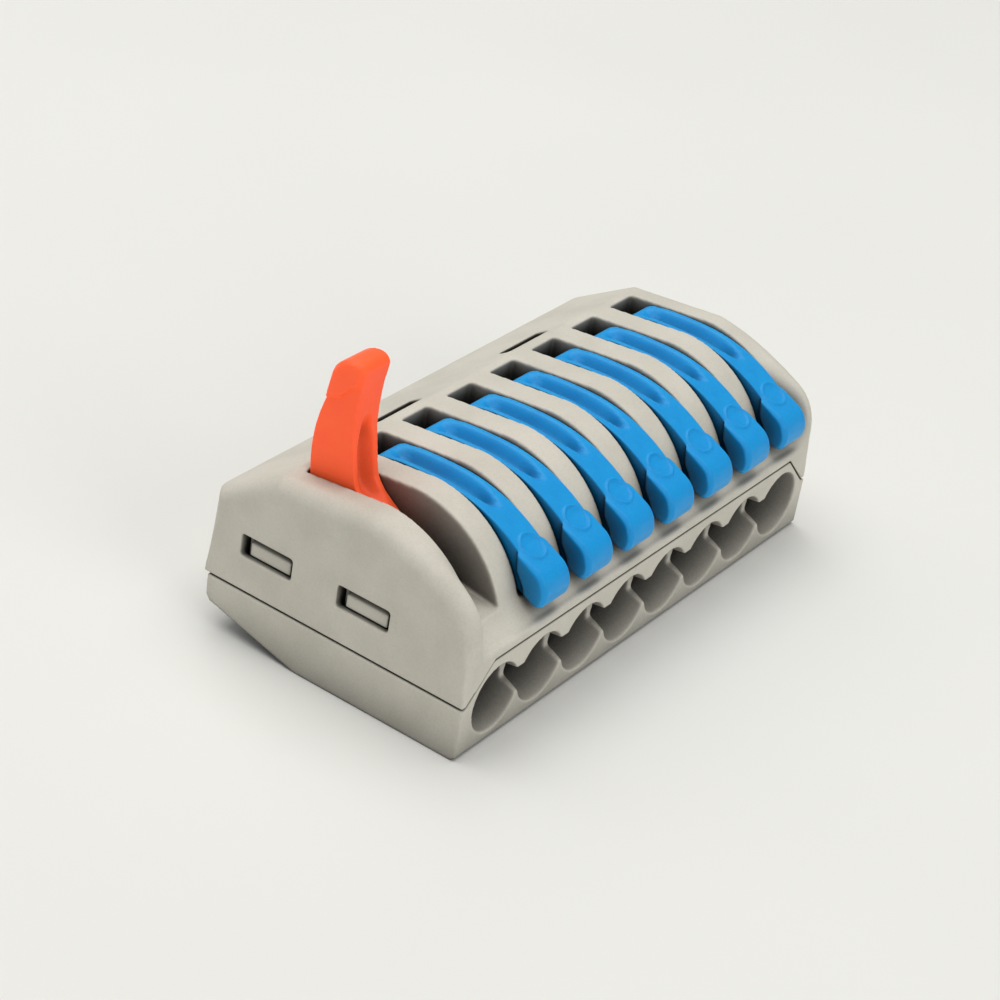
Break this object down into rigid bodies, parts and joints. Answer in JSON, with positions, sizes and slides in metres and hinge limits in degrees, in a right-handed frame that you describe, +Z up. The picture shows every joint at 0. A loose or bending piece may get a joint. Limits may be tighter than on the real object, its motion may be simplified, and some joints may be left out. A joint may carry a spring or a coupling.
{
  "type": "lever wire connector",
  "caption": "Flat-based splicing connector: a row of wire entries along the front, each with a folding lever above that opens a cage clamp on a shared busbar.",
  "frame": {"origin": "middle of the connector's length and depth, on the plane that the flat underside rests on", "axes": "+X along the row of poles, -Y the side where the wires go in, +Z up through the levers"},
  "size_m": [0.0426, 0.0213, 0.022],
  "materials": {
    "grey_plastic": "fine-grained moulded, warm light grey",
    "blue_plastic": "satin moulded, mid blue",
    "orange_plastic": "satin moulded, red-orange",
    "spring_steel": "bright rolled strip",
    "tinned_copper": "tin plated, dull silver"
  },
  "bodies": {
    "housing": {"upper_housing": "grey_plastic", "base": "grey_plastic", "busbar": "tinned_copper", "clamp_spring_1": "spring_steel", "clamp_spring_2": "spring_steel", "clamp_spring_3": "spring_steel", "clamp_spring_4": "spring_steel", "clamp_spring_5": "spring_steel", "clamp_spring_6": "spring_steel", "clamp_spring_7": "spring_steel", "clamp_spring_8": "spring_steel"},
    "lever_1": {"lever_1": "orange_plastic"},
    "lever_2": {"lever_2": "blue_plastic"},
    "lever_3": {"lever_3": "blue_plastic"},
    "lever_4": {"lever_4": "blue_plastic"},
    "lever_5": {"lever_5": "blue_plastic"},
    "lever_6": {"lever_6": "blue_plastic"},
    "lever_7": {"lever_7": "blue_plastic"},
    "lever_8": {"lever_8": "blue_plastic"}
  },
  "joints": [
    {"name": "lever_1_hinge", "type": "hinge", "parent": "housing", "child": "lever_1", "pos_m": [-0.0175, 0.001, 0.0103], "axis": [-1, 0, 0], "range_deg": [-106, 0], "deforming": ["clamp_spring_1"]},
    {"name": "lever_2_hinge", "type": "hinge", "parent": "housing", "child": "lever_2", "pos_m": [-0.0125, 0.001, 0.0103], "axis": [-1, 0, 0], "range_deg": [0, 106], "deforming": ["clamp_spring_2"]},
    {"name": "lever_3_hinge", "type": "hinge", "parent": "housing", "child": "lever_3", "pos_m": [-0.0075, 0.001, 0.0103], "axis": [-1, 0, 0], "range_deg": [0, 106], "deforming": ["clamp_spring_3"]},
    {"name": "lever_4_hinge", "type": "hinge", "parent": "housing", "child": "lever_4", "pos_m": [-0.0025, 0.001, 0.0103], "axis": [-1, 0, 0], "range_deg": [0, 106], "deforming": ["clamp_spring_4"]},
    {"name": "lever_5_hinge", "type": "hinge", "parent": "housing", "child": "lever_5", "pos_m": [0.0025, 0.001, 0.0103], "axis": [-1, 0, 0], "range_deg": [0, 106], "deforming": ["clamp_spring_5"]},
    {"name": "lever_6_hinge", "type": "hinge", "parent": "housing", "child": "lever_6", "pos_m": [0.0075, 0.001, 0.0103], "axis": [-1, 0, 0], "range_deg": [0, 106], "deforming": ["clamp_spring_6"]},
    {"name": "lever_7_hinge", "type": "hinge", "parent": "housing", "child": "lever_7", "pos_m": [0.0125, 0.001, 0.0103], "axis": [-1, 0, 0], "range_deg": [0, 106], "deforming": ["clamp_spring_7"]},
    {"name": "lever_8_hinge", "type": "hinge", "parent": "housing", "child": "lever_8", "pos_m": [0.0175, 0.001, 0.0103], "axis": [-1, 0, 0], "range_deg": [0, 106], "deforming": ["clamp_spring_8"]}
  ]
}
